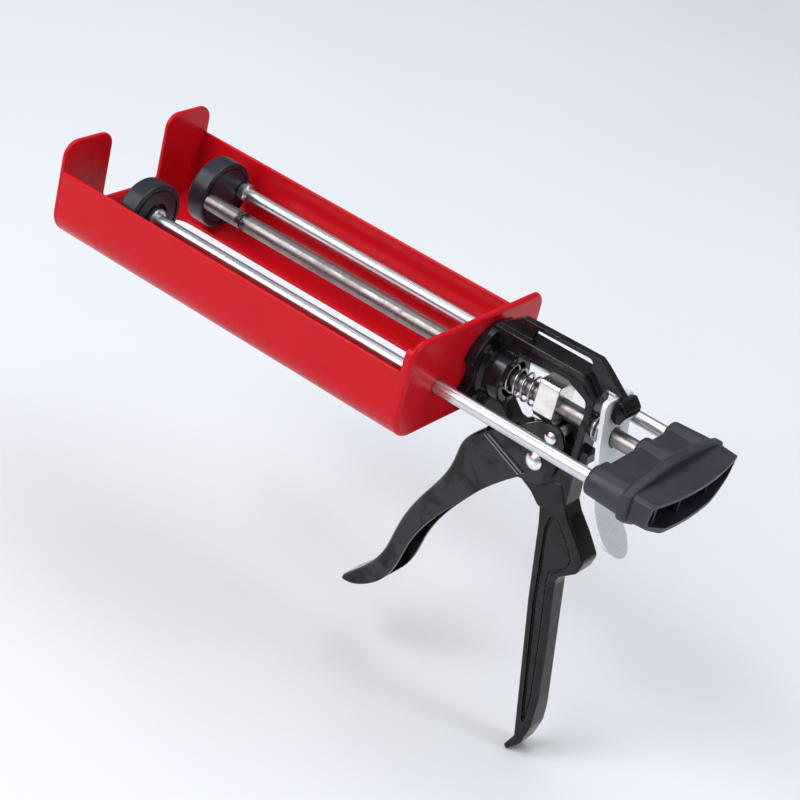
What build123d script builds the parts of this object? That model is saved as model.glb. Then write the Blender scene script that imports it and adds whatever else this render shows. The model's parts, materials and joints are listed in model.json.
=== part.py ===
from build123d import *
import math
import os

# Dual-cartridge caulking gun, millimetres, +Z up.
# Origin: on the drive rod's axis, at the rear face of the rear plate.
# The nozzle end points to -X, the pull handle to +X, the user's right is +Y.

# ---- Cradle ----
CRADLE_LENGTH = 230.0
CRADLE_CENTRE_Y = -14.0
CRADLE_HALF_WIDTH = 55.0
CRADLE_BOTTOM = -24.5
CRADLE_BEND_RADIUS = 15.0
WALL_TOP = 13.3
SHEET = 2.0
END_PLATE = 2.4
PLATE_TOP = 29.5
PLATE_CORNER = 9.0
TAB_CORNER = 8.0
NOTCH_HALF_WIDTH = 21.0
NOTCH_BOTTOM = -9.7
WINDOW_HALF_WIDTH = 23.8
WINDOW_FRONT = -213.0
WINDOW_REAR = -18.0
REAR_RIM_DEPTH = 5.0

# ---- Rods and pusher discs ----
DISC_PITCH = 55.0
DISC_RADIUS = 18.7
DISC_THICKNESS = 10.6
DISC_REAR = -186.0
RIGHT_DISC_Y = CRADLE_CENTRE_Y + DISC_PITCH / 2
LEFT_ROD_Y = CRADLE_CENTRE_Y - DISC_PITCH / 2
RIGHT_ROD_Y = RIGHT_DISC_Y * 2
SIDE_ROD_RADIUS = 3.6
DRIVE_ROD_RADIUS = 4.6
ROD_HOLE_GAP = 0.5
SPIGOT_RADIUS = 2.0
RUNNING_GAP = 0.06
DISC_RECESS_RADIUS = 8.6
DISC_RECESS_DEPTH = 3.0
DISC_FRONT = DISC_REAR - DISC_THICKNESS
DISC_DISH = 1.2
DISC_NUT_REAR = DISC_FRONT + 3.6
DISC_NUT_ACROSS = 7.0
ROD_GROOVE_X = DISC_REAR + 25.0
ROD_GROOVE_WIDTH = 2.4
ROD_GROOVE_DEPTH = 0.5

# ---- Body casting ----
FLANGE_RADIUS = 24.3
FLANGE_THICKNESS = 5.5
BOSS_RADIUS = 13.8
BOSS_REAR = 17.5
SPRING_WELL_RADIUS = 9.6
SPRING_WELL_FLOOR = 8.5
BUSH_RADIUS = 7.0
SCREW_RADIUS = 2.5
SCREW_CIRCLE = 18.6
RIM_HALF = 6.9
WEB_HALF = 2.3
RIM_BAND = 3.2
POST_FRONT = 62.3
POST_REAR = 65.8
GRIP_HALF = 7.0
GRIP_BACK_RADIUS = 4.2
GRIP_BACK_TOP = -86.5
GRIP_PANEL_HALF = 5.9
GRIP_GROOVE_HALF = 5.2
GRIP_GROOVE_WIDTH = 1.3
SADDLE_HALF = 6.3
EAR_RELIEF_RADIUS = 13.0

# ---- Trigger and its pins ----
PIVOT_X = 45.0
PIVOT_Z = -29.5
PUSHER_X = 49.8
PUSHER_Z = -13.5
TRIGGER_HALF = 9.5
TRIGGER_SKIN = 2.0
EAR_OUTER = 8.8
EAR_INNER = 6.7
CREASE_BEADS = (((15.6, -30.2), (39.6, -40.2)), ((17.4, -28.9), (41.2, -38.8)))
CREASE_BEAD_RADIUS = 0.7
CREASE_BEAD_Y = 9.3
PIVOT_PIN_RADIUS = 3.2
PUSHER_PIN_RADIUS = 2.0
ROLLER_RADIUS = 3.1

# ---- Drive block, springs, release plate ----
BLOCK_FRONT = 35.2
BLOCK_REAR = 47.0
BLOCK_HALF = 8.0
BLOCK_TOP = 12.6
TAIL_REAR = 46.4
SPRING_WIRE = 0.65
BRAKE_WIRE = 0.55
RETURN_COIL_RADIUS = 7.0
BRAKE_COIL_RADIUS = 6.0
PLATE_SHEET = 2.5
RELEASE_HALF = 12.6
TONGUE_END = 56.6

# ---- Pull handle ----
HANDLE_FRONT = 91.8
HANDLE_RING = 112.0
HANDLE_RING_REAR = 117.5
HANDLE_REAR = 131.8
HANDLE_CROWN_RADIUS = 187.0
HANDLE_CROWN_TILT = 5.0
HANDLE_TOP = 7.4
HANDLE_BOTTOM = -14.6
HANDLE_CAVITY = 109.0
HANDLE_ROOM = HANDLE_RING + 1.8
HANDLE_CENTRE_Y = (LEFT_ROD_Y + RIGHT_ROD_Y) / 2
HANDLE_HALF_WIDTH = 41.0
HANDLE_SKIN = 2.6
HANDLE_RIBS = (-27.5, -3.5, 23.0)
HANDLE_RIB_REAR = 124.5
ROD_END = 114.5


def box(x0, x1, y0, y1, z0, z1):
    """Axis-aligned block between two corners."""
    size = Box(x1 - x0, y1 - y0, z1 - z0)
    return Pos((x0 + x1) / 2, (y0 + y1) / 2, (z0 + z1) / 2) * size


def rod_x(x0, x1, radius, y=0.0, z=0.0):
    """Cylinder along X."""
    return Pos((x0 + x1) / 2, y, z) * Rot(0, 90, 0) * Cylinder(radius, x1 - x0)


def rod_y(x, z, radius, y0, y1):
    """Cylinder along Y."""
    return Pos(x, (y0 + y1) / 2, z) * Rot(90, 0, 0) * Cylinder(radius, y1 - y0)


def cone_x(x0, x1, r0, r1, y=0.0):
    """Cone along X, radius r0 at x0 and r1 at x1."""
    return Pos((x0 + x1) / 2, y, 0) * Rot(0, 90, 0) * Cone(r0, r1, x1 - x0)


def outline(points, radii):
    """Closed 2-D face with one rounding radius per corner (or one for all)."""
    return make_face(FilletPolyline(*points, radius=radii, close=True))


def slab_y(face, y0, y1):
    """A side-view (X, Z) face made solid from y0 to y1."""
    placed = Plane.XZ.offset(-y0) * face
    return extrude(placed, amount=-(y1 - y0))


def slab_x(face, x0, x1):
    """An end-view (Y, Z) face made solid from x0 to x1."""
    placed = Plane.YZ.offset(x0) * face
    return extrude(placed, amount=x1 - x0)


def slab_z(face, z0, z1):
    """A plan-view (X, Y) face made solid from z0 to z1."""
    placed = Plane.XY.offset(z0) * face
    return extrude(placed, amount=z1 - z0)


def chamfer_ends_x(part, size):
    """Break the outermost round edges at both X ends of a turned part."""
    edges = part.edges().filter_by(GeomType.CIRCLE).sort_by(Axis.X)
    return chamfer([edges[0], edges[-1]], size)


def hex_nut(x0, x1, across, bore, y=0.0, z=0.0):
    """Hexagonal nut along X with softened corners."""
    hexagon = extrude(RegularPolygon(across / 2, 6, major_radius=False), x1 - x0)
    prism = Pos(x0, y, z) * Rot(0, 90, 0) * hexagon
    rounder = chamfer_ends_x(rod_x(x0, x1, across * 0.56, y, z), (x1 - x0) * 0.12)
    return (prism & rounder) - rod_x(x0 - 1, x1 + 1, bore, y, z)


# ------------------------------------------------------------------ cradle

def cradle_channel():
    """Bent sheet channel with a long opening in its floor."""
    left = CRADLE_CENTRE_Y - CRADLE_HALF_WIDTH
    right = CRADLE_CENTRE_Y + CRADLE_HALF_WIDTH
    front = -CRADLE_LENGTH + END_PLATE
    rear = -REAR_RIM_DEPTH
    above = WALL_TOP + 30
    bend = CRADLE_BEND_RADIUS
    outer = outline([(left, above), (left, CRADLE_BOTTOM), (right, CRADLE_BOTTOM), (right, above)],
                    [1, bend, bend, 1])
    inner = outline([(left + SHEET, above + 9), (left + SHEET, CRADLE_BOTTOM + SHEET),
                     (right - SHEET, CRADLE_BOTTOM + SHEET), (right - SHEET, above + 9)],
                    [1, bend - SHEET, bend - SHEET, 1])
    trough = slab_x(outer, front, rear) - slab_x(inner, front - 1, rear + 1)
    trough -= box(front - 1, rear + 1, left - 1, right + 1, WALL_TOP, above + 20)
    window = RectangleRounded(WINDOW_REAR - WINDOW_FRONT, 2 * WINDOW_HALF_WIDTH, 10)
    window = Pos((WINDOW_REAR + WINDOW_FRONT) / 2, CRADLE_CENTRE_Y) * window
    trough -= slab_z(window, CRADLE_BOTTOM - 1, CRADLE_BOTTOM + SHEET + 1)
    top_edges = trough.edges().filter_by(Axis.X).group_by(Axis.Z)[-1]
    return fillet(top_edges, SHEET * 0.4)


def end_outline():
    """End-view outline of the rear plate."""
    left = CRADLE_CENTRE_Y - CRADLE_HALF_WIDTH
    right = CRADLE_CENTRE_Y + CRADLE_HALF_WIDTH
    low = CRADLE_BEND_RADIUS
    high = PLATE_CORNER
    return outline([(left, PLATE_TOP), (left, CRADLE_BOTTOM), (right, CRADLE_BOTTOM), (right, PLATE_TOP)],
                   [high, low, low, high])


def front_plate():
    """Nozzle-end plate with a U notch between two rounded tabs."""
    left = CRADLE_CENTRE_Y - CRADLE_HALF_WIDTH
    right = CRADLE_CENTRE_Y + CRADLE_HALF_WIDTH
    notch_left = CRADLE_CENTRE_Y - NOTCH_HALF_WIDTH
    notch_right = CRADLE_CENTRE_Y + NOTCH_HALF_WIDTH
    low = CRADLE_BEND_RADIUS
    foot = 4.0
    face = outline([(left, PLATE_TOP), (left, CRADLE_BOTTOM), (right, CRADLE_BOTTOM), (right, PLATE_TOP),
                    (notch_right, PLATE_TOP), (notch_right, NOTCH_BOTTOM), (notch_left, NOTCH_BOTTOM),
                    (notch_left, PLATE_TOP)],
                   [PLATE_CORNER, low, low, PLATE_CORNER, TAB_CORNER, foot, foot, TAB_CORNER])
    plate = slab_x(face, -CRADLE_LENGTH, -CRADLE_LENGTH + END_PLATE)
    return fillet(plate.faces().filter_by(Axis.X).edges(), END_PLATE * 0.35)


def rear_plate():
    """Body-end plate: a shallow pressed pan whose rim meets the channel."""
    pan = slab_x(end_outline(), -REAR_RIM_DEPTH, 0)
    edge = pan.faces().sort_by(Axis.X)[-1].outer_wire().edges()
    pan = fillet(edge, 2.2)
    rim = SHEET
    left = CRADLE_CENTRE_Y - CRADLE_HALF_WIDTH + rim
    right = CRADLE_CENTRE_Y + CRADLE_HALF_WIDTH - rim
    low = CRADLE_BEND_RADIUS - rim
    hollow = outline([(left, PLATE_TOP + 30), (left, CRADLE_BOTTOM + rim), (right, CRADLE_BOTTOM + rim),
                      (right, PLATE_TOP + 30)], [1, low, low, 1])
    pan -= slab_x(hollow, -REAR_RIM_DEPTH - 1, -END_PLATE)
    for y in (LEFT_ROD_Y, RIGHT_ROD_Y):
        pan -= rod_x(-9, 9, SIDE_ROD_RADIUS + ROD_HOLE_GAP, y)
    pan -= rod_x(-9, 9, BUSH_RADIUS)
    for y, z in plate_screw_spots():
        pan -= rod_x(-9, 9, SCREW_RADIUS, y, z)
    return pan


def plate_screw_spots():
    """Centres (y, z) of the four screws that hold the casting to the plate."""
    spots = []
    for angle in (50, 130, 230, 310):
        turn = math.radians(angle)
        spots.append((SCREW_CIRCLE * math.cos(turn), SCREW_CIRCLE * math.sin(turn)))
    return spots


def body_screws():
    """Four pan-head screws, heads inside the cradle."""
    screws = []
    for y, z in plate_screw_spots():
        shank = rod_x(-END_PLATE, FLANGE_THICKNESS, SCREW_RADIUS, y, z)
        head = rod_x(-END_PLATE - 2.2, -END_PLATE, 4.4, y, z)
        head = fillet(head.edges().filter_by(GeomType.CIRCLE).sort_by(Axis.X)[:1], 1.6)
        slot = box(-END_PLATE - 3, -END_PLATE - 1.2, y - 0.5, y + 0.5, z - 3, z + 3)
        cross = box(-END_PLATE - 3, -END_PLATE - 1.2, y - 3, y + 3, z - 0.5, z + 0.5)
        screws.append(shank + head - slot - cross)
    return Compound(children=screws)


def guide_bush():
    """Flanged steel bush that guides the drive rod through plate and casting."""
    sleeve = rod_x(-END_PLATE, SPRING_WELL_FLOOR, BUSH_RADIUS)
    collar = rod_x(-END_PLATE - 1.8, -END_PLATE, BUSH_RADIUS + 2.2)
    collar = fillet(collar.edges().filter_by(GeomType.CIRCLE).sort_by(Axis.X)[:1], 0.8)
    return sleeve + collar - rod_x(-9, 19, DRIVE_ROD_RADIUS + RUNNING_GAP)


# ------------------------------------------------------------ body casting

def flange_face():
    """Round foot of the casting, scalloped to clear the side rod positions."""
    disc = Circle(FLANGE_RADIUS)
    for side in (-1, 1):
        disc -= Pos(side * RIGHT_ROD_Y, 0) * Circle(9.2)
    return fillet(disc.vertices(), 1.5)


def frame_window():
    """Side view of the opening that holds the drive block and its spring."""
    return outline([(BOSS_REAR + 0.5, 15.8), (46.5, 15.8), (59.5, 10.2), (59.5, -17.5),
                    (24.5, -18.6), (BOSS_REAR + 0.5, -12.5)],
                   [0.5, 5, 4, 3, 2.5, 0.5])


def frame_outer():
    """Side view of the whole frame above the grip: rail, post and nose."""
    return outline([(2.0, 24.3), (13.7, 33.4), (59.5, 34.3), (63.8, 31.7), (79.0, 20.4), (77.6, 18.2),
                    (76.3, 20.2), (74.9, 21.9), (67.4, 21.9), (POST_REAR, 17), (POST_REAR, -19), (67.5, -44),
                    (56, -52), (39.6, -43.2), (34, -36), (22, -27.5), (2.0, -24.3)],
                   [1, 4, 3, 3, 0.8, 0.8, 0.8, 0.8, 1.5, 3, 5, 1, 2, 2, 3, 4, 1])


def rim_outer():
    """Side view of the thick band round the window, outside line."""
    return outline([(3.0, 25.4), (56.0, 25.4), (POST_REAR, 16), (POST_REAR, -22), (POST_FRONT, -22.0),
                    (3.0, -23.0)], [1, 8, 6, 1, 1, 1])


def rim_inner():
    """Side view of the thick band round the window, inside line."""
    return outline([(-6.0, 25.4 - RIM_BAND), (54.5, 25.4 - RIM_BAND), (POST_FRONT, 14.5), (POST_FRONT, -40),
                    (-6.0, -40)], [1, 7, 5, 1, 1])


def grip_outline():
    """Side view of the grip, from the horn down to the toe."""
    front = [(56, -60), (63.2, -103), (69.5, -134), (79.0, -181.5), (75.0, -190.0), (77.2, -192.0)]
    rear = [(83.5, -184.5), (86.4, -172.0), (85.6, -156), (80.2, -123), (74.0, -88.5), (75.4, -82.2)]
    horn = [(84.2, -75.0), (86.2, -67.2), (78.3, -57.2), (70.6, -49.0), (66.5, -42), (62.5, -34), (50, -36)]
    return outline(front + rear + horn,
                   [14, 40, 60, 3, 1.0, 1.0, 9, 12, 40, 60, 5, 2.5, 5, 4, 25, 3, 4, 3, 3])


def grip_core():
    """Side view of the recessed panel inside the grip's flanges."""
    return outline([(60.3, -60), (66.6, -103), (72.8, -134), (81.4, -176), (82.6, -168), (82.2, -156),
                    (77.0, -123.5), (70.9, -90.0), (70.0, -83.0), (76.0, -78.6), (79.5, -73.8), (79.6, -69.0),
                    (73.5, -60.5), (66.5, -53.0), (61.5, -51.5)],
                   [10, 40, 60, 1.2, 6, 40, 60, 6, 4, 4, 3, 3, 20, 3, 3])


def grip():
    """Pistol grip: rounded back, shallow side panels outlined by a groove."""
    handle = slab_y(grip_outline(), -GRIP_HALF, GRIP_HALF)
    handle = fillet(handle.faces().filter_by(Axis.Y).edges(), 1.3)
    shaft = handle & box(0, 120, -30, 30, -200, GRIP_BACK_TOP)
    handle = (handle - box(0, 120, -30, 30, -200, GRIP_BACK_TOP)) + (shaft & grip_back())
    panel = grip_core()
    groove = panel - offset(panel, amount=-GRIP_GROOVE_WIDTH)
    for side in (-1, 1):
        far = side * 30
        handle -= slab_y(panel, min(side * GRIP_PANEL_HALF, far), max(side * GRIP_PANEL_HALF, far))
        handle -= slab_y(groove, min(side * GRIP_GROOVE_HALF, far), max(side * GRIP_GROOVE_HALF, far))
    return handle


def grip_back():
    """Long bar with a rounded rear side, lying along the back of the grip."""
    down = (0.1694, 0, -0.9855)
    across = (0.9855, 0, 0.1694)
    half = GRIP_HALF
    section = outline([(-40, -half), (0.3, -half), (0.3, half), (-40, half)],
                      [1, GRIP_BACK_RADIUS, GRIP_BACK_RADIUS, 1])
    start = Plane(origin=(74.2, 0, -88.5), x_dir=across, z_dir=down).offset(-20)
    return extrude(start * section, amount=150)


def body_casting():
    """Open-frame die casting: foot, spring boss, rail, post, hook and grip."""
    web = slab_y(frame_outer(), -WEB_HALF, WEB_HALF)
    band = slab_y(rim_outer(), -RIM_HALF, RIM_HALF)
    band = fillet(band.faces().filter_by(Axis.Y).edges(), 0.9) - slab_y(rim_inner(), -20, 20)
    band += slab_y(rim_band_nose(), -RIM_HALF, RIM_HALF)
    foot = slab_x(flange_face(), 0, FLANGE_THICKNESS)
    boss = rod_x(0, BOSS_REAR, BOSS_RADIUS)
    boss += cone_x(FLANGE_THICKNESS - 0.5, FLANGE_THICKNESS + 2.0, BOSS_RADIUS + 2.5, BOSS_RADIUS)
    boss = fillet(boss.edges().filter_by(GeomType.CIRCLE).sort_by(Axis.X)[-1:], 1.0)
    lower = slab_y(lower_saddle(), -SADDLE_HALF, SADDLE_HALF)
    post_boss = rod_x(POST_FRONT, POST_REAR, 7.8)
    body = web + band + foot + boss + lower + post_boss + grip() + hook() + stop_lug()
    body -= slab_y(frame_window(), -30, 30) - rod_x(0, BOSS_REAR, BOSS_RADIUS) - post_boss
    body -= slab_y(rail_slot(), -30, 30)
    body -= rod_x(-1, SPRING_WELL_FLOOR + 1, BUSH_RADIUS)
    body -= rod_x(SPRING_WELL_FLOOR, BOSS_REAR + 40, SPRING_WELL_RADIUS)
    body -= rod_x(50, 70, DRIVE_ROD_RADIUS + ROD_HOLE_GAP)
    body -= rod_y(PIVOT_X, PIVOT_Z, PIVOT_PIN_RADIUS, -30, 30)
    for y0, y1 in ((-30, -SADDLE_HALF), (SADDLE_HALF, 30)):
        body -= rod_y(PIVOT_X, PIVOT_Z, EAR_RELIEF_RADIUS, y0, y1)
    for y, z in plate_screw_spots():
        body -= rod_x(-1, FLANGE_THICKNESS, SCREW_RADIUS, y, z)
    return body


def rim_band_nose():
    """Side view of the rib that ties the band's front end to the foot."""
    return outline([(2.0, 22.2), (14.0, 22.2), (14.0, 25.4), (2.0, 25.4)], 0.8)


def lower_saddle():
    """Side view of the solid part between the trigger's ears."""
    return outline([(3.0, -12.4), (22.4, -12.4), (26.0, -18.8), (POST_REAR, -18.8), (67.5, -44), (60, -52.5),
                    (52.8, -52.0), (47.0, -46.8), (39.8, -43.2), (33, -33), (21.5, -25), (3.0, -23.4)],
                   [0.5, 1.5, 2, 2, 3, 2, 3, 6, 3, 6, 3, 0.5])


def rail_slot():
    """Side view of the long slot in the top rail."""
    return outline([(22.0, 25.4), (56.8, 25.4), (56.8, 32.2), (22.0, 31.4)], [0.8, 0.8, 2.8, 2.8])


def hook():
    """Block behind the post that keeps the top of the release plate."""
    face = outline([(75.9, 21.0), (79.2, 22.2), (83.2, 17.9), (83.2, 14.9), (81.4, 11.0), (78.7, 10.2),
                    (75.9, 12.4), (76.2, 18.4)],
                   [0.6, 1.5, 1.2, 1.6, 1.6, 2.0, 1.6, 1.0])
    return slab_y(face, -RIM_HALF, RIM_HALF)


def stop_lug():
    """Lug behind the post that the pressed release plate meets."""
    return slab_y(outline([(64, -13.5), (70.2, -13.5), (70.2, -19.5), (64, -21.5)], 0.8), -4.6, 4.6)


# ------------------------------------------------------------ trigger group

def trigger_front_line():
    """Finger side of the trigger, from its top to its toe."""
    return [(14.2, -27.4), (8.0, -34.4), (3.4, -42.0), (1.9, -51.0), (-1.0, -63.0), (-8.5, -78.5),
            (-16.0, -94.5), (-20.6, -111.0), (-23.6, -124.5), (-30.6, -138.0), (-38.6, -147.6),
            (-43.4, -153.0)]


def trigger_rear_line():
    """Open edge of the trigger's walls, from its toe up to the crease."""
    return [(-43.0, -154.8), (-36.5, -154.0), (-28.0, -149.4), (-19.0, -140.4), (-13.8, -129.0),
            (-10.6, -115.0), (-4.0, -98.0), (8.0, -78.6), (22.0, -59.8), (39.8, -41.4)]


def shifted(points, distance):
    """Points moved sideways off their own line, to the right of its direction."""
    moved = []
    for i, (x, z) in enumerate(points):
        before = points[max(i - 1, 0)]
        after = points[min(i + 1, len(points) - 1)]
        dx = after[0] - before[0]
        dz = after[1] - before[1]
        size = math.hypot(dx, dz)
        moved.append((x - dz / size * distance, z + dx / size * distance))
    return moved


def trigger_ear():
    """Side view of the plate from the pivot up to the pusher pin."""
    return outline([(13.2, -30.5), (41.5, -8.4), (54.0, -6.0), (58.2, -14.0), (56.8, -32.0), (50.5, -40.5),
                    (38.8, -42.2)],
                   [1.0, 9, 6.0, 6.0, 9, 8, 1.0])


def trigger():
    """Pressed U-channel lever with two ears that straddle the casting."""
    front = trigger_front_line()
    rear = trigger_rear_line()
    shell = make_face([Spline(*front), Line(front[-1], rear[0]), Spline(*rear), Line(rear[-1], front[0])])
    lever = slab_y(shell, -TRIGGER_HALF, TRIGGER_HALF)
    finger_edges = lever.edges().filter_by(lambda e: e.length > 120).group_by(Axis.X)[0]
    lever = fillet(finger_edges, 3.2)
    inner = shifted(front, TRIGGER_SKIN)
    inner = [(inner[0][0] + 6, inner[0][1] + 8)] + inner[:-2]
    room = make_face([Spline(*inner), Polyline(inner[-1], (70, -150), (70, 20), inner[0])])
    half = TRIGGER_HALF - TRIGGER_SKIN
    hollow = slab_y(room, -half, half)
    hollow = fillet(hollow.edges().filter_by(lambda e: e.length > 100).group_by(Axis.X)[0], 1.4)
    lever -= hollow
    for side in (-1, 1):
        inner = side * EAR_INNER
        outer = side * EAR_OUTER
        lever += slab_y(trigger_ear(), min(inner, outer), max(inner, outer))
        for start, end in CREASE_BEADS:
            y = side * CREASE_BEAD_Y
            path = Line((start[0], y, start[1]), (end[0], y, end[1]))
            lever += sweep(Plane(path @ 0, z_dir=path % 0) * Circle(CREASE_BEAD_RADIUS), path=path)
    lever -= box(-5, 70, -EAR_INNER, EAR_INNER, -42, -20) - slab_y(shell, -20, 20)
    lever -= rod_y(PIVOT_X, PIVOT_Z, PIVOT_PIN_RADIUS + RUNNING_GAP, -30, 30)
    lever -= rod_y(PUSHER_X, PUSHER_Z, PUSHER_PIN_RADIUS, -30, 30)
    return lever


def rivet(x, z, shank, head, half_span, crown):
    """Pin along Y with a domed head on each end."""
    pin = rod_y(x, z, shank, -half_span, half_span)
    for side in (-1, 1):
        ball_radius = (head * head + crown * crown) / (2 * crown)
        ball = Pos(x, side * (half_span - ball_radius + crown), z) * Sphere(ball_radius)
        start = side * half_span
        cap = rod_y(x, z, head, min(start, start + side * 9), max(start, start + side * 9))
        pin += ball & cap
    return pin


def pivot_pin():
    """Domed rivet the trigger swings on, fast in the casting."""
    return rivet(PIVOT_X, PIVOT_Z, PIVOT_PIN_RADIUS, 4.9, EAR_OUTER + 0.3, 2.4)


def pusher_pin():
    """Domed rivet across the top of the ears, which carries the roller."""
    return rivet(PUSHER_X, PUSHER_Z, PUSHER_PIN_RADIUS, 3.4, EAR_OUTER, 1.8)


def pusher_roller():
    """Steel roller between the ears that drives the block."""
    tube = rod_y(PUSHER_X, PUSHER_Z, ROLLER_RADIUS, -EAR_INNER + 0.4, EAR_INNER - 0.4)
    return tube - rod_y(PUSHER_X, PUSHER_Z, PUSHER_PIN_RADIUS + RUNNING_GAP, -20, 20)


# ---------------------------------------------------- drive block and springs

def drive_block():
    """Nickel-plated block that grips the rod and pushes it forward."""
    half = BLOCK_HALF
    waist = 5.4
    section = outline([(-half, -5.0), (-half, BLOCK_TOP), (half, BLOCK_TOP), (half, -5.0),
                       (waist, -8.2), (waist, -10.5), (-waist, -10.5), (-waist, -8.2)],
                      [1.5, 2.6, 2.6, 1.5, 1.5, 1.0, 1.0, 1.5])
    head = slab_x(section, BLOCK_FRONT, BLOCK_REAR)
    head = fillet(head.faces().filter_by(Axis.X).edges(), 0.6)
    tail = slab_y(outline([(36.0, -4), (TAIL_REAR, -4), (TAIL_REAR, -17.0), (39.5, -17.0), (36.0, -9)],
                          [0.5, 0.5, 1.2, 2.0, 3.0]), -4.6, 4.6)
    return head + tail - rod_x(BLOCK_FRONT - 1, BLOCK_REAR + 2, DRIVE_ROD_RADIUS + 0.09)


def coil_spring(x0, x1, radius, turns, wire):
    """Open helical spring along X with a flattened turn at each end."""
    height = x1 - x0 - 2 * wire
    helix = Helix(pitch=height / turns, height=height, radius=radius)
    section = Plane(origin=helix @ 0, z_dir=helix % 0) * Circle(wire)
    coil = sweep(section, path=helix, is_frenet=True)
    return Pos(x0 + wire, 0, 0) * Rot(0, 90, 0) * coil


def return_spring():
    """Spring that sends the drive block back after each stroke."""
    return coil_spring(SPRING_WELL_FLOOR + 0.2, BLOCK_FRONT - 0.2, RETURN_COIL_RADIUS, 5.5, SPRING_WIRE)


def brake_spring():
    """Short spring that keeps the release plate tilted on the rod."""
    return coil_spring(POST_REAR + 0.2, 73.0, BRAKE_COIL_RADIUS, 2.4, BRAKE_WIRE)


def release_plate():
    """Bent plate with a rod hole and a rounded thumb tongue."""
    front = [(72.2, 21.0), (73.9, 9.5), (75.8, -2.0), (77.9, -13.5), (79.8, -25.0), (83.2, -36.8),
             (89.8, -47.4), (103.4, -61.0)]
    rear = shifted(front, PLATE_SHEET)
    rear.reverse()
    side = make_face([Spline(*front), Line(front[-1], rear[0]), Spline(*rear), Line(rear[-1], front[0])])
    plate = slab_y(side, -RELEASE_HALF, RELEASE_HALF)
    half = RELEASE_HALF
    shape = outline([(-half, 20.9), (half, 20.9), (half, -4), (half - 1.6, -20), (half - 2.4, -TONGUE_END),
                     (2.4 - half, -TONGUE_END), (1.6 - half, -20), (-half, -4)],
                    [3.5, 3.5, 8, 20, 9.9, 9.9, 20, 8])
    plate = plate & slab_x(shape, 60, 120)
    return plate - rod_x(66, 90, DRIVE_ROD_RADIUS + 0.75)


# ---------------------------------------------------------- carriage pieces

def stepped_rod(shoulder, radius, y):
    """Rod turned down to a spigot where it passes through its pusher."""
    rod = chamfer_ends_x(rod_x(shoulder, ROD_END, radius, y), 0.6)
    return rod + chamfer_ends_x(rod_x(DISC_FRONT + DISC_DISH, shoulder + 1, SPIGOT_RADIUS, y), 0.3)


def drive_rod():
    """Ground steel rod that the trigger feeds forward, with one ring groove."""
    end = ROD_GROOVE_X + ROD_GROOVE_WIDTH
    floor = DRIVE_ROD_RADIUS - ROD_GROOVE_DEPTH
    groove = rod_x(ROD_GROOVE_X, end, 2 * DRIVE_ROD_RADIUS) - rod_x(ROD_GROOVE_X - 1, end + 1, floor)
    return stepped_rod(DISC_REAR, DRIVE_ROD_RADIUS, 0.0) - groove


def left_rod():
    """Follower rod of the left pusher."""
    return stepped_rod(DISC_REAR - DISC_RECESS_DEPTH, SIDE_ROD_RADIUS, LEFT_ROD_Y)


def right_rod():
    """Follower rod of the right pusher."""
    return stepped_rod(DISC_REAR, SIDE_ROD_RADIUS, RIGHT_ROD_Y)


def pusher_disc(y, rods):
    """Moulded pusher with a raised rim, a dished front and a bore for each rod's spigot."""
    disc = rod_x(DISC_FRONT, DISC_REAR, DISC_RADIUS, y)
    ends = disc.edges().filter_by(GeomType.CIRCLE).sort_by(Axis.X)
    disc = fillet([ends[0], ends[-1]], 1.0)
    groove = rod_x(DISC_REAR - 0.9, DISC_REAR + 1, DISC_RADIUS - 2.4, y)
    groove -= rod_x(DISC_REAR - 2, DISC_REAR + 2, DISC_RADIUS - 3.8, y)
    disc -= groove
    dish = rod_x(DISC_FRONT - 1, DISC_FRONT + DISC_DISH, DISC_RADIUS - 3.0, y)
    disc -= dish
    for rod_y_place in rods:
        disc -= rod_x(DISC_FRONT - 1, DISC_REAR + 1, SPIGOT_RADIUS, rod_y_place)
        disc -= rod_x(DISC_FRONT - 1, DISC_NUT_REAR, DISC_NUT_ACROSS * 0.61, rod_y_place)
    return disc


def left_disc():
    """Left pusher, centred on its own rod."""
    disc = pusher_disc(LEFT_ROD_Y, [LEFT_ROD_Y])
    return disc - rod_x(DISC_REAR - DISC_RECESS_DEPTH, DISC_REAR + 1, DISC_RECESS_RADIUS, LEFT_ROD_Y)


def right_disc():
    """Right pusher, carried by the drive rod and the right rod."""
    return pusher_disc(RIGHT_DISC_Y, [0.0, RIGHT_ROD_Y])


def turned_collar(x0, x1, outer, bore, y):
    """Round collar with broken edges."""
    ring = chamfer_ends_x(rod_x(x0, x1, outer, y), 0.6)
    return ring - rod_x(x0 - 1, x1 + 1, bore, y)


def left_rod_nut():
    """Round plated nut in the recess behind the left pusher."""
    return turned_collar(DISC_REAR - DISC_RECESS_DEPTH, DISC_REAR + 2.6, 6.0, SIDE_ROD_RADIUS, LEFT_ROD_Y)


def right_rod_collar():
    """Collar that backs the right pusher."""
    return turned_collar(DISC_REAR, DISC_REAR + 5.0, 5.2, SIDE_ROD_RADIUS, RIGHT_ROD_Y)


def disc_nuts():
    """Small nuts on the spigots, sunk in the pushers' front faces."""
    front = DISC_FRONT + DISC_DISH
    nuts = []
    for y in (LEFT_ROD_Y, 0.0, RIGHT_ROD_Y):
        nuts.append(hex_nut(front, DISC_NUT_REAR, DISC_NUT_ACROSS, SPIGOT_RADIUS, y))
    return Compound(children=nuts)


def handle_rods():
    """Place, rod radius and boss radius of each rod socket in the pull handle."""
    side_boss = 7.6
    middle_boss = 8.0
    return [(LEFT_ROD_Y, SIDE_ROD_RADIUS, side_boss), (0.0, DRIVE_ROD_RADIUS, middle_boss),
            (RIGHT_ROD_Y, SIDE_ROD_RADIUS, side_boss)]


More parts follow.
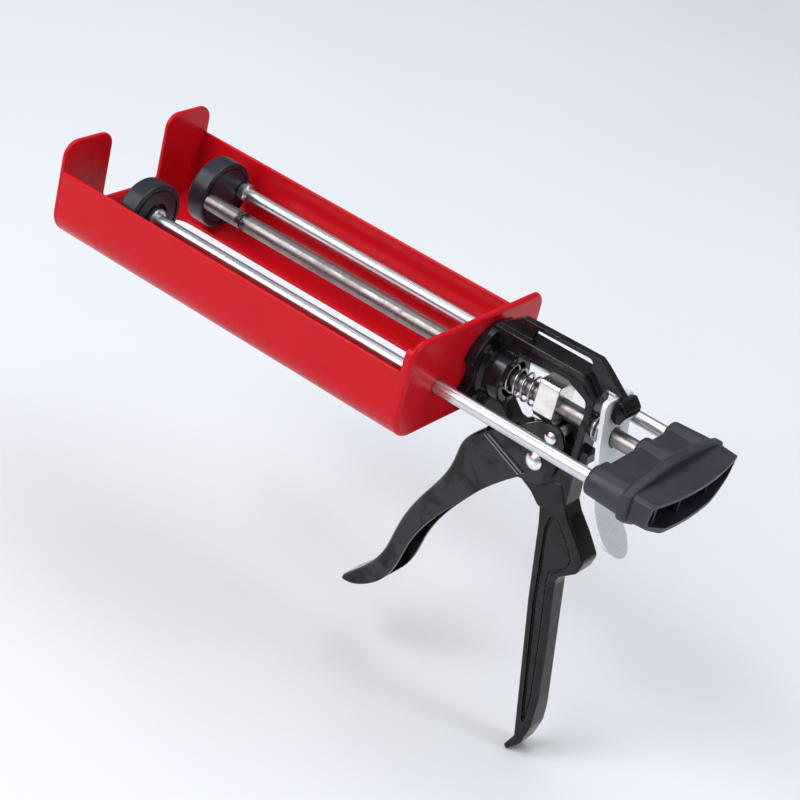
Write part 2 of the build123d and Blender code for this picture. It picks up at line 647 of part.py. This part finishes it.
def handle_ring():
    """Arched finger rim round the handle."""
    left = HANDLE_CENTRE_Y - HANDLE_HALF_WIDTH - 2.0
    right = HANDLE_CENTRE_Y + HANDLE_HALF_WIDTH + 2.2
    arch = ThreePointArc((left + 2, 7.6), (HANDLE_CENTRE_Y, 13.6), (right - 2, 7.6))
    rest = FilletPolyline((right - 2, 7.6), (right, 6.6), (right, -7.0), (right - 14, -14.0),
                          (left + 14, -14.0), (left, -7.0), (left, 6.6), (left + 2, 7.6),
                          radius=[1.0, 5, 20, 20, 5, 1.0])
    ring = slab_x(make_face([arch, rest]), HANDLE_RING, HANDLE_RING_REAR)
    return fillet(ring.faces().filter_by(Axis.X).edges(), 1.4)


def bowl_outline(inset):
    """Rear-view outline of the handle's open back, or of the room inside it."""
    left = HANDLE_CENTRE_Y - HANDLE_HALF_WIDTH + inset
    right = HANDLE_CENTRE_Y + HANDLE_HALF_WIDTH - inset
    bottom = HANDLE_BOTTOM + inset
    top = HANDLE_TOP - inset
    return outline([(left, -6.4 + inset * 0.4), (left + 17, bottom), (right - 17, bottom),
                    (right, -6.4 + inset * 0.4), (right, top), (left, top)],
                   [6 - inset, 16, 16, 6 - inset, 3.2 - inset * 0.6, 3.2 - inset * 0.6])


def handle_crown():
    """Large upright cylinder, leaning back a little, whose rear side shapes the handle's rear edge."""
    barrel = Pos(-HANDLE_CROWN_RADIUS, 0, 0) * Cylinder(HANDLE_CROWN_RADIUS, 200)
    return Pos(HANDLE_REAR, HANDLE_CENTRE_Y, HANDLE_TOP) * Rot(0, HANDLE_CROWN_TILT, 0) * barrel


def pull_handle():
    """Moulded pull handle: three rod bosses, a finger rim and a hollow back."""
    web = box(HANDLE_FRONT + 1.4, HANDLE_RING + 1, LEFT_ROD_Y, RIGHT_ROD_Y, -6.0, 6.0)
    body = fillet(web.edges().filter_by(Axis.Y).group_by(Axis.X)[0], 2.4)
    for y, _, radius in handle_rods():
        boss = cone_x(HANDLE_FRONT, HANDLE_RING + 1, radius, radius + 1.1, y)
        body += fillet(boss.edges().filter_by(GeomType.CIRCLE).sort_by(Axis.X)[:1], 2.0)
    pad = slab_x(outline([(LEFT_ROD_Y, -7.0), (LEFT_ROD_Y + 10.4, -7.0), (LEFT_ROD_Y + 10.4, 7.0),
                          (LEFT_ROD_Y, 7.0)], [1, 3, 3, 1]), HANDLE_FRONT, HANDLE_RING + 1)
    body += fillet(pad.faces().sort_by(Axis.X)[0].edges(), 2.0)
    bowl = extrude(Plane.YZ.offset(HANDLE_RING_REAR - 1) * bowl_outline(0.0),
                   amount=HANDLE_REAR - HANDLE_RING_REAR + 1, taper=4)
    room = extrude(Plane.YZ.offset(HANDLE_ROOM) * bowl_outline(HANDLE_SKIN),
                   amount=HANDLE_REAR + 1 - HANDLE_ROOM, taper=2)
    for offset in HANDLE_RIBS:
        y = HANDLE_CENTRE_Y + offset
        room -= box(HANDLE_CAVITY, HANDLE_RIB_REAR, y - 0.9, y + 0.9, -30, 30)
    handle = (body + handle_ring() + bowl - room) & handle_crown()
    for y, bore, radius in handle_rods():
        handle -= rod_x(HANDLE_FRONT - 1, HANDLE_RING + 3, bore, y)
        handle -= rod_x(HANDLE_CAVITY, HANDLE_ROOM + 1, radius - 0.9, y)
    return handle


def handle_nuts():
    """Nuts on the rods' rear ends, inside the hollow handle."""
    nuts = []
    for y, bore, radius in handle_rods():
        nuts.append(hex_nut(HANDLE_CAVITY, HANDLE_CAVITY + 4.0, 2 * radius - 4.0, bore, y))
    return Compound(children=nuts)


PARTS = {
    "cradle_channel": cradle_channel,
    "front_plate": front_plate,
    "rear_plate": rear_plate,
    "body_casting": body_casting,
    "body_screws": body_screws,
    "guide_bush": guide_bush,
    "trigger": trigger,
    "trigger_pivot_pin": pivot_pin,
    "pusher_pin": pusher_pin,
    "pusher_roller": pusher_roller,
    "drive_block": drive_block,
    "return_spring": return_spring,
    "brake_spring": brake_spring,
    "release_plate": release_plate,
    "drive_rod": drive_rod,
    "left_rod": left_rod,
    "right_rod": right_rod,
    "left_disc": left_disc,
    "right_disc": right_disc,
    "left_rod_nut": left_rod_nut,
    "right_rod_collar": right_rod_collar,
    "disc_nuts": disc_nuts,
    "pull_handle": pull_handle,
    "handle_nuts": handle_nuts,
}

os.makedirs("parts", exist_ok=True)
for node, make in PARTS.items():
    export_step(make(), f"parts/{node}.step")
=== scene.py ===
import json

import bpy
from mathutils import Matrix, Vector


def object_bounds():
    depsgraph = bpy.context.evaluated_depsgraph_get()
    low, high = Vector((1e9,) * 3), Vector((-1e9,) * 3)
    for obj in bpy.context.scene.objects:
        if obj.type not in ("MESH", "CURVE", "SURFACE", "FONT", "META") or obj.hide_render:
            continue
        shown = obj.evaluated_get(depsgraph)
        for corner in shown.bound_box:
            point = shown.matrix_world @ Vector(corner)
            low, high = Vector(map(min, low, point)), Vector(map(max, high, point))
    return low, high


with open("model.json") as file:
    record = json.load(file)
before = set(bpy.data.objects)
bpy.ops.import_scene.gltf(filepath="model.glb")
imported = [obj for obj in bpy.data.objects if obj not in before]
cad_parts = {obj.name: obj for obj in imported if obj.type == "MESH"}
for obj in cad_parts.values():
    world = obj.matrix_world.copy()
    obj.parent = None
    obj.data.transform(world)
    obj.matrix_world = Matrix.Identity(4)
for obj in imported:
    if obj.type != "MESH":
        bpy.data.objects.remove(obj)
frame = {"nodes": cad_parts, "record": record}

MM = 0.001
CAD_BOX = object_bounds()

# Camera: where it stands, the directions of its picture's right and up, its lens in millimetres,
# its shift, and the nearest and farthest distances it sees in metres.
CAMERA_PLACE = Vector((0.45196, -0.83748, 0.50597))
CAMERA_RIGHT = Vector((0.77580, 0.58652, 0.23267))
CAMERA_UP = Vector((-0.46843, 0.28829, 0.83514))
CAMERA_LENS = 98.74
CAMERA_SHIFT = (-0.0493, 0.0310)
CAMERA_CLIP = (0.05, 50.0)

FLOOR_SIZE = 14.0
FLOOR_COLOUR = (0.79, 0.815, 0.86)
FLOOR_CLOUD = (0.765, 0.79, 0.838)

# Studio: each light's name, place, width and height in metres, and power in watts.
LIGHTS = (
    ("key", (-1.10, -2.60, 2.20), 2.5, 2.5, 84.0),
    ("top", (0.10, 0.30, 2.50), 2.6, 1.4, 29.0),
    ("strip", (-1.00, -1.10, 1.70), 1.0, 0.03, 7.0),
    ("rear", (2.6, 0.6, 1.20), 0.9, 1.8, 20.0),
)
LIGHT_TARGET = Vector((-0.05, 0.0, -0.05))

# Surround: brightness by how high a direction points, from 0 at the horizon and below to 1 straight up.
SKY_STOPS = ((0.0, 0.30), (0.20, 0.26), (0.34, 0.12), (0.46, 0.14), (0.62, 0.34), (0.85, 0.45))
SKY_TINT = (0.96, 0.98, 1.03)

# Rounding that the shaders draw on edges, and how far two normals agree on an edge and on a flat.
METAL_EDGE = 0.35 * MM
PLASTIC_EDGE = 0.5 * MM
RED_EDGE = 0.55 * MM
ENAMEL_EDGE = 0.6 * MM
EDGE_SAMPLES = 6
EDGE_AGREES = (0.72, 0.985)

EVEN = (1, 1, 1)
WHITE = (1.0, 1.0, 1.0)

# Colours of each finish, linear.
RED = (0.575, 0.0055, 0.0120)
RED_CLOUD = (0.48, 0.0045, 0.0105)
# Painted highlight: the paler red drawn on every edge of the red paint.
RED_EDGE_HIGHLIGHT = (0.74, 0.035, 0.045)
RED_SPECK = (0.20, 0.004, 0.008)
RED_RUBBED = (0.70, 0.06, 0.07)
RED_REFLECTION = (1.0, 0.50, 0.56)
CASTING_WET = (0.0050, 0.0040, 0.0060)
CASTING_SATIN = (0.0115, 0.0100, 0.0135)
CASTING_RUBBED = (0.16, 0.16, 0.17)
TRIGGER_WET = (0.0060, 0.0052, 0.0068)
TRIGGER_SATIN = (0.0285, 0.0262, 0.0315)
# Paler edge colour of the trigger: partly rubbed wear, partly a painted edge highlight.
TRIGGER_RUBBED_AND_GLINT = (0.24, 0.235, 0.25)
# Painted highlight drawn along the trigger's crease beads.
TRIGGER_CREASE_HIGHLIGHT = (0.34, 0.33, 0.35)
CHROME = (0.68, 0.68, 0.71)
CHROME_DULL = (0.56, 0.56, 0.59)
CHROME_PIT = (0.30, 0.28, 0.28)
BAR = (0.28, 0.255, 0.26)
BAR_DULL = (0.17, 0.147, 0.142)
BAR_RING = (0.46, 0.44, 0.44)
BAR_STAIN = (0.11, 0.085, 0.075)
BAR_GRIPPED = (0.035, 0.03, 0.035)
NICKEL = (0.86, 0.82, 0.78)
NICKEL_DULL = (0.70, 0.65, 0.60)
NICKEL_EDGE = (0.93, 0.90, 0.86)
BLASTED = (0.76, 0.78, 0.83)
BLASTED_CLOUD = (0.68, 0.70, 0.745)
BLASTED_GRAIN = (0.96, 0.97, 0.99)
BLASTED_EDGE = (0.85, 0.86, 0.88)
ZINC = (0.66, 0.68, 0.72)
ZINC_DULL = (0.48, 0.50, 0.54)
ZINC_EDGE = (0.8, 0.81, 0.84)
RIVET = (0.92, 0.94, 0.97)
RIVET_DULL = (0.76, 0.78, 0.83)
RIVET_EDGE = (0.86, 0.88, 0.9)
SPRING = (0.55, 0.54, 0.56)
SPRING_DULL = (0.36, 0.34, 0.35)
HANDLE = (0.026, 0.0245, 0.040)
HANDLE_RUBBED = (0.14, 0.14, 0.17)
DISC = (0.0150, 0.0155, 0.0250)
DISC_RUBBED = (0.11, 0.115, 0.14)
CLOUD_LIFT = 1.5

# Ends of the trigger's two crease beads, along which a highlight is painted, and the stained stretch round
# the drive rod's ring groove.
CREASE_BEADS = (
    (Vector((15.6, 0, -30.2)) * MM, Vector((39.6, 0, -40.2)) * MM),
    (Vector((17.4, 0, -28.9)) * MM, Vector((41.2, 0, -38.8)) * MM),
)
CREASE_SHINE_WIDTH = 0.75 * MM
GRIPPED_BAND = (-163.5 * MM, -158.0 * MM)
GRIPPED_FADE = 1.5 * MM


class Finish:
    """One procedural material: a Principled shader and the nodes that drive it."""

    def __init__(self, name, colour, metallic=0.0):
        self.material = bpy.data.materials.new(name)
        self.material.use_nodes = True
        self.tree = self.material.node_tree
        self.shader = self.tree.nodes["Principled BSDF"]
        self.place = self.node("TexCoord").outputs["Object"]
        base = self.node("RGB")
        base.outputs[0].default_value = (*colour, 1.0)
        self.colour = base.outputs[0]
        self.shader.inputs["Metallic"].default_value = metallic
        self.normal = None

    def node(self, kind, **settings):
        """Adds a shader node and sets its named settings."""
        made = self.tree.nodes.new("ShaderNode" + kind)
        for name, value in settings.items():
            setattr(made, name, value)
        return made

    def feed(self, socket, value):
        """Links another node's output to a socket, or sets the socket to a plain value."""
        if isinstance(value, bpy.types.NodeSocket):
            self.tree.links.new(value, socket)
        else:
            socket.default_value = value

    def stretched(self, stretch):
        """Object coordinates scaled on each axis: below 1 draws a pattern out along that axis."""
        made = self.node("Mapping")
        self.feed(made.inputs["Vector"], self.place)
        made.inputs["Scale"].default_value = stretch
        return made.outputs["Vector"]

    def noise(self, size, detail=2.0, rough=0.5, stretch=EVEN, swirl=0.0):
        """Noise from 0 to 1 with features about size across, in metres."""
        made = self.node("TexNoise")
        self.feed(made.inputs["Vector"], self.stretched(stretch))
        made.inputs["Scale"].default_value = 1.0 / size
        made.inputs["Detail"].default_value = detail
        made.inputs["Roughness"].default_value = rough
        made.inputs["Distortion"].default_value = swirl
        return made.outputs["Fac"]

    def cells(self, size):
        """Distance to the nearest scattered point, with points about size apart."""
        made = self.node("TexVoronoi", feature="F1")
        self.feed(made.inputs["Vector"], self.place)
        made.inputs["Scale"].default_value = 1.0 / size
        return made.outputs["Distance"]

    def ramp(self, value, low, high, first=0.0, last=1.0):
        """first below low, last above high, smooth between."""
        made = self.node("MapRange", interpolation_type="SMOOTHSTEP")
        for name, given in (("Value", value), ("From Min", low), ("From Max", high),
                            ("To Min", first), ("To Max", last)):
            self.feed(made.inputs[name], given)
        return made.outputs["Result"]

    def along(self, direction):
        """How far each point lies in a direction, in metres."""
        made = self.node("VectorMath", operation="DOT_PRODUCT")
        self.feed(made.inputs[0], self.place)
        made.inputs[1].default_value = direction
        return made.outputs["Value"]

    def band(self, value, first, last, fade):
        """1 while value is between first and last, fading to 0 over fade on both sides."""
        rise = self.ramp(value, first - fade, first)
        fall = self.ramp(value, last, last + fade, 1.0, 0.0)
        return self.both(rise, fall)

    def streak(self, start, end, width):
        """1 on a straight line drawn in the gun's side view, fading out over width on both sides."""
        way = (end - start).normalized()
        across = Vector((way.z, 0.0, -way.x))
        side = self.band(self.along(across), start.dot(across), start.dot(across), width)
        return self.both(side, self.band(self.along(way), start.dot(way), end.dot(way), width))

    def combined(self, operation, a, b):
        """Result of a sum on two values, held between 0 and 1."""
        made = self.node("Math", operation=operation, use_clamp=True)
        self.feed(made.inputs[0], a)
        self.feed(made.inputs[1], b)
        return made.outputs[0]

    def both(self, a, b):
        return self.combined("MULTIPLY", a, b)

    def added(self, a, b):
        return self.combined("ADD", a, b)

    def tint(self, share, colour):
        """Mixes another colour in where share is above 0."""
        made = self.node("Mix", data_type="RGBA")
        self.feed(made.inputs["Factor"], share)
        self.feed(made.inputs["A"], self.colour)
        self.feed(made.inputs["B"], (*colour, 1.0))
        self.colour = made.outputs["Result"]

    def rough(self, value):
        self.feed(self.shader.inputs["Roughness"], value)

    def round_edges(self, radius):
        """Softens every edge a little and returns a mask that is 1 on edges."""
        bevel = self.node("Bevel", samples=EDGE_SAMPLES)
        bevel.inputs["Radius"].default_value = radius
        self.normal = bevel.outputs["Normal"]
        flat = self.node("NewGeometry").outputs["Normal"]
        dot = self.node("VectorMath", operation="DOT_PRODUCT")
        self.feed(dot.inputs[0], bevel.outputs["Normal"])
        self.feed(dot.inputs[1], flat)
        return self.ramp(dot.outputs["Value"], *EDGE_AGREES, 1.0, 0.0)

    def bump(self, height, distance, strength=1.0):
        """Raises the surface by height times distance, in metres."""
        made = self.node("Bump")
        made.inputs["Distance"].default_value = distance
        made.inputs["Strength"].default_value = strength
        self.feed(made.inputs["Height"], height)
        if self.normal is not None:
            self.feed(made.inputs["Normal"], self.normal)
        self.normal = made.outputs["Normal"]

    def shine(self, level, tint=WHITE):
        """Strength and tint of the reflection."""
        self.shader.inputs["Specular IOR Level"].default_value = level
        self.shader.inputs["Specular Tint"].default_value = (*tint, 1.0)

    def done(self):
        """Joins the colour and the surface to the shader and gives the material."""
        self.feed(self.shader.inputs["Base Color"], self.colour)
        if self.normal is not None:
            self.feed(self.shader.inputs["Normal"], self.normal)
        return self.material


def red_powder_coat():
    """Glossy red baked powder: faint orange peel, dust specks, rubs and scratches, and a painted highlight
    that makes every edge paler.
    """
    paint = Finish("red_powder_coat", RED)
    edge = paint.round_edges(RED_EDGE)
    cloud = paint.noise(38 * MM, 3)
    paint.tint(paint.ramp(cloud, 0.42, 0.72, 0.0, 0.35), RED_CLOUD)
    # Painted highlight: every edge is tinted paler red.
    paint.tint(paint.both(edge, 0.45), RED_EDGE_HIGHLIGHT)
    speck = paint.ramp(paint.cells(3.1 * MM), 0.045, 0.075, 1.0, 0.0)
    rare = paint.ramp(paint.noise(9 * MM, 2), 0.56, 0.62)
    paint.tint(paint.both(paint.both(speck, rare), 0.5), RED_SPECK)
    scratch = paint.ramp(paint.noise(1.1 * MM, 2, 0.6, (0.035, 1, 1)), 0.66, 0.72)
    rubbed = paint.ramp(paint.noise(24 * MM, 3, 0.6), 0.52, 0.66)
    worn = paint.both(scratch, rubbed)
    paint.tint(paint.both(worn, 0.35), RED_RUBBED)
    gloss = paint.ramp(cloud, 0.3, 0.7, 0.20, 0.30)
    paint.rough(paint.added(gloss, paint.both(worn, 0.25)))
    paint.shine(0.26, RED_REFLECTION)
    orange_peel = paint.noise(2.2 * MM, 2)
    powder = paint.noise(0.55 * MM, 2)
    paint.bump(orange_peel, 0.05 * MM, 0.55)
    paint.bump(powder, 0.012 * MM, 0.5)
    paint.bump(speck, 0.04 * MM, 0.4)
    return paint.done()


def enamel(name, wet, satin, patch, rubbed):
    """Black enamel: glossy wet-looking patches in a satin skin, paler where its edges are rubbed."""
    paint = Finish(name, wet)
    edge = paint.round_edges(ENAMEL_EDGE)
    skin = paint.ramp(paint.noise(patch, 4, 0.6, swirl=0.4), 0.40, 0.54)
    paint.tint(skin, satin)
    scuff = paint.ramp(paint.noise(1.6 * MM, 4, 0.7), 0.46, 0.60)
    # Rubbed edges turn paler; on the trigger this paler colour is partly a painted edge highlight.
    paint.tint(paint.both(paint.both(edge, scuff), 0.75), rubbed)
    paint.rough(paint.ramp(skin, 0.0, 1.0, 0.08, 0.20))
    paint.shine(0.30)
    return paint


def black_casting_enamel():
    """Enamel over a die casting: soft lumps, fine grain, pits."""
    paint = enamel("black_casting_enamel", CASTING_WET, CASTING_SATIN, 15 * MM, CASTING_RUBBED)
    lumps = paint.noise(4.5 * MM, 3)
    grain = paint.noise(0.7 * MM, 3)
    pits = paint.ramp(paint.cells(2.4 * MM), 0.06, 0.12)
    paint.bump(lumps, 0.12 * MM, 0.5)
    paint.bump(grain, 0.012 * MM, 0.6)
    paint.bump(pits, 0.04 * MM, 0.5)
    return paint.done()


def black_trigger_enamel():
    """Dipped enamel on pressed steel, with soft runs, a painted highlight along the crease beads, and edges
    made paler partly by rubbing and partly by a painted edge highlight.
    """
    paint = enamel("black_trigger_enamel", TRIGGER_WET, TRIGGER_SATIN, 16 * MM, TRIGGER_RUBBED_AND_GLINT)
    # Painted highlight: a pale line along the crest of each crease bead.
    for start, end in CREASE_BEADS:
        crease_highlight = paint.streak(start, end, CREASE_SHINE_WIDTH)
        paint.tint(paint.both(crease_highlight, 0.8), TRIGGER_CREASE_HIGHLIGHT)
    runs = paint.noise(7.0 * MM, 2)
    grain = paint.noise(0.9 * MM, 2)
    paint.bump(runs, 0.22 * MM, 0.6)
    paint.bump(grain, 0.010 * MM, 0.6)
    return paint.done()


def plated(name, colour, dull, roughs, grain, patch, draw=EVEN, edge_tint=None):
    """Bare or plated metal: cloudy dulling, tool grain drawn out along draw, and, where edge_tint is
    given, soft brighter edges."""
    metal = Finish(name, colour, metallic=1.0)
    cloud = metal.noise(patch, 4, 0.6)
    metal.tint(metal.ramp(cloud, 0.42, 0.72, 0.0, 0.75), dull)
    if edge_tint is not None:
        metal.tint(metal.both(metal.round_edges(METAL_EDGE), 0.6), edge_tint)
    lines = metal.noise(grain, 3, 0.6, draw)
    dulled = metal.ramp(cloud, 0.3, 0.7, *roughs)
    metal.rough(metal.added(dulled, metal.ramp(lines, 0.45, 0.75, 0.0, 0.10)))
    metal.bump(lines, 0.002 * MM, 0.5)
    metal.bump(cloud, 0.012 * MM, 0.3)
    return metal


def chrome_rod():
    """Bright chromed bar with faint drawn lines along it and small dull spots."""
    metal = plated("chrome_rod", CHROME, CHROME_DULL, (0.24, 0.32), 0.5 * MM, 14 * MM, draw=(0.01, 1, 1))
    pit = metal.ramp(metal.cells(2.6 * MM), 0.05, 0.1, 1.0, 0.0)
    metal.tint(metal.both(pit, 0.5), CHROME_PIT)
    return metal.done()


def ground_steel_rod():
    """Bare ground bar: brown-grey stains, rings of rub, and a dark blotchy stretch at its ring groove."""
    metal = plated("ground_steel_rod", BAR, BAR_DULL, (0.32, 0.44), 0.45 * MM, 9 * MM, draw=(0.02, 1, 1))
    rings = metal.ramp(metal.noise(1.1 * MM, 2, 0.5, (1, 0.08, 0.08)), 0.6, 0.7)
    metal.tint(metal.both(rings, 0.3), BAR_RING)
    stain = metal.ramp(metal.noise(5 * MM, 4, 0.65), 0.56, 0.68)
    metal.tint(metal.both(stain, 0.6), BAR_STAIN)
    gripped = metal.band(metal.along((1, 0, 0)), *GRIPPED_BAND, GRIPPED_FADE)
    blotch = metal.ramp(metal.noise(2.5 * MM, 4, 0.7), 0.40, 0.56)
    metal.tint(metal.both(gripped, blotch), BAR_GRIPPED)
    return metal.done()


def satin_nickel():
    """Warm bright nickel on the drive block, brushed across."""
    return plated("satin_nickel", NICKEL, NICKEL_DULL, (0.20, 0.30), 0.35 * MM, 5 * MM,
                  draw=(1, 0.06, 1), edge_tint=NICKEL_EDGE).done()


def blasted_zinc():
    """Fine-grained white-grey zinc on blasted sheet, brighter at its edges."""
    metal = Finish("blasted_zinc", BLASTED, metallic=0.35)
    edge = metal.round_edges(METAL_EDGE)
    cloud = metal.noise(7 * MM, 4, 0.6)
    metal.tint(metal.ramp(cloud, 0.4, 0.7, 0.0, 0.6), BLASTED_CLOUD)
    grain = metal.noise(0.6 * MM, 3, 0.7)
    metal.tint(metal.ramp(grain, 0.45, 0.6, 0.0, 0.6), BLASTED_GRAIN)
    metal.tint(metal.both(edge, 0.5), BLASTED_EDGE)
    metal.rough(metal.ramp(grain, 0.3, 0.7, 0.42, 0.58))
    metal.bump(grain, 0.045 * MM, 0.7)
    metal.bump(cloud, 0.05 * MM, 0.3)
    return metal.done()


def zinc_plate():
    """Blue-white zinc on nuts, screws and bush."""
    return plated("zinc_plate", ZINC, ZINC_DULL, (0.22, 0.36), 0.4 * MM, 3 * MM,
                  draw=(0.3, 1, 1), edge_tint=ZINC_EDGE).done()


def zinc_rivet():
    """Bright domed rivet heads with light hammer marks."""
    metal = plated("zinc_rivet", RIVET, RIVET_DULL, (0.18, 0.28), 0.35 * MM, 2.6 * MM, edge_tint=RIVET_EDGE)
    hammer_marks = metal.cells(1.7 * MM)
    metal.bump(hammer_marks, 0.05 * MM, 0.5)
    return metal.done()


def spring_steel():
    """Drawn spring wire with an oily sheen."""
    return plated("spring_steel", SPRING, SPRING_DULL, (0.18, 0.30), 0.3 * MM, 2.2 * MM).done()


def moulded(name, colour, rubbed, roughs, texture, depth):
    """Moulded black plastic: spark-eroded texture, cloudy sheen, paler rubbed edges."""
    plastic = Finish(name, colour)
    edge = plastic.round_edges(PLASTIC_EDGE)
    cloud = plastic.noise(13 * MM, 3)
    plastic.tint(plastic.ramp(cloud, 0.4, 0.7, 0.0, 0.5), tuple(CLOUD_LIFT * part for part in colour))
    scuff = plastic.ramp(plastic.noise(1.3 * MM, 4, 0.7), 0.5, 0.62)
    plastic.tint(plastic.both(plastic.both(edge, scuff), 0.5), rubbed)
    plastic.rough(plastic.ramp(cloud, 0.3, 0.7, *roughs))
    plastic.shine(0.36)
    sparks = plastic.noise(texture, 3, 0.65)
    waves = plastic.noise(5 * MM, 2)
    plastic.bump(sparks, depth, 0.8)
    plastic.bump(waves, 0.08 * MM, 0.4)
    return plastic.done()


def handle_plastic():
    return moulded("handle_plastic", HANDLE, HANDLE_RUBBED, (0.36, 0.50), 0.55 * MM, 0.035 * MM)


def black_disc_plastic():
    return moulded("black_disc_plastic", DISC, DISC_RUBBED, (0.24, 0.36), 0.4 * MM, 0.02 * MM)


FINISHES = {make.__name__: make for make in (
    red_powder_coat, black_casting_enamel, black_trigger_enamel, zinc_plate, zinc_rivet, spring_steel,
    satin_nickel, blasted_zinc, ground_steel_rod, chrome_rod, black_disc_plastic, handle_plastic)}


def paint_nodes():
    """Gives every CAD node the finish of the material slot that the record names for it."""
    finishes = {name: make() for name, make in FINISHES.items()}
    for row in frame["record"]["subparts"]:
        mesh = frame["nodes"][row["node"]].data
        mesh.materials.clear()
        mesh.materials.append(finishes[row["material_slot"]])


def add_floor():
    """Plain pale floor at the lowest point of the object."""
    half = FLOOR_SIZE / 2
    z = CAD_BOX[0].z
    mesh = bpy.data.meshes.new("floor")
    corners = [(-half, -half, z), (half, -half, z), (half, half, z), (-half, half, z)]
    mesh.from_pydata(corners, [], [(0, 1, 2, 3)])
    floor = bpy.data.objects.new("floor", mesh)
    bpy.context.scene.collection.objects.link(floor)
    matt = Finish("pale_floor", FLOOR_COLOUR)
    matt.tint(matt.ramp(matt.noise(0.6, 2), 0.4, 0.7, 0.0, 0.25), FLOOR_CLOUD)
    matt.rough(matt.ramp(matt.noise(0.2, 2), 0.3, 0.7, 0.55, 0.65))
    mesh.materials.append(matt.done())


def add_camera():
    """Long lens above the gun's left rear, turned as CAMERA_RIGHT and CAMERA_UP say."""
    data = bpy.data.cameras.new("camera")
    data.lens = CAMERA_LENS
    data.shift_x, data.shift_y = CAMERA_SHIFT
    data.clip_start, data.clip_end = CAMERA_CLIP
    camera = bpy.data.objects.new("camera", data)
    turn = Matrix((CAMERA_RIGHT, CAMERA_UP, CAMERA_RIGHT.cross(CAMERA_UP))).transposed()
    camera.matrix_world = Matrix.Translation(CAMERA_PLACE) @ turn.to_4x4()
    bpy.context.scene.collection.objects.link(camera)
    bpy.context.scene.camera = camera


def add_softbox(name, place, width, height, watts):
    """Rectangular area light aimed at the middle of the gun."""
    data = bpy.data.lights.new(name, "AREA")
    data.shape = "RECTANGLE"
    data.size, data.size_y = width, height
    data.energy = watts
    lamp = bpy.data.objects.new(name, data)
    lamp.location = place
    lamp.rotation_euler = (LIGHT_TARGET - Vector(place)).to_track_quat("-Z", "Y").to_euler()
    bpy.context.scene.collection.objects.link(lamp)


def add_sky():
    """Pale studio surround, brighter overhead, with a darker band that gives bright metal its lines."""
    world = bpy.data.worlds.new("studio")
    world.use_nodes = True
    tree = world.node_tree
    coordinates = tree.nodes.new("ShaderNodeTexCoord")
    split = tree.nodes.new("ShaderNodeSeparateXYZ")
    ramp = tree.nodes.new("ShaderNodeValToRGB")
    tree.links.new(coordinates.outputs["Generated"], split.inputs[0])
    tree.links.new(split.outputs["Z"], ramp.inputs["Fac"])
    ramp.color_ramp.elements[0].position = SKY_STOPS[0][0]
    ramp.color_ramp.elements[1].position = SKY_STOPS[-1][0]
    for place, _ in SKY_STOPS[1:-1]:
        ramp.color_ramp.elements.new(place)
    for element, (_, level) in zip(ramp.color_ramp.elements, SKY_STOPS):
        element.color = (*(level * share for share in SKY_TINT), 1.0)
    tree.links.new(ramp.outputs["Color"], tree.nodes["Background"].inputs["Color"])
    bpy.context.scene.world = world


def light_scene():
    """Soft studio light, shown without any film look."""
    add_sky()
    for light in LIGHTS:
        add_softbox(*light)
    bpy.context.scene.view_settings.view_transform = "Standard"


paint_nodes()
add_floor()
add_camera()
light_scene()
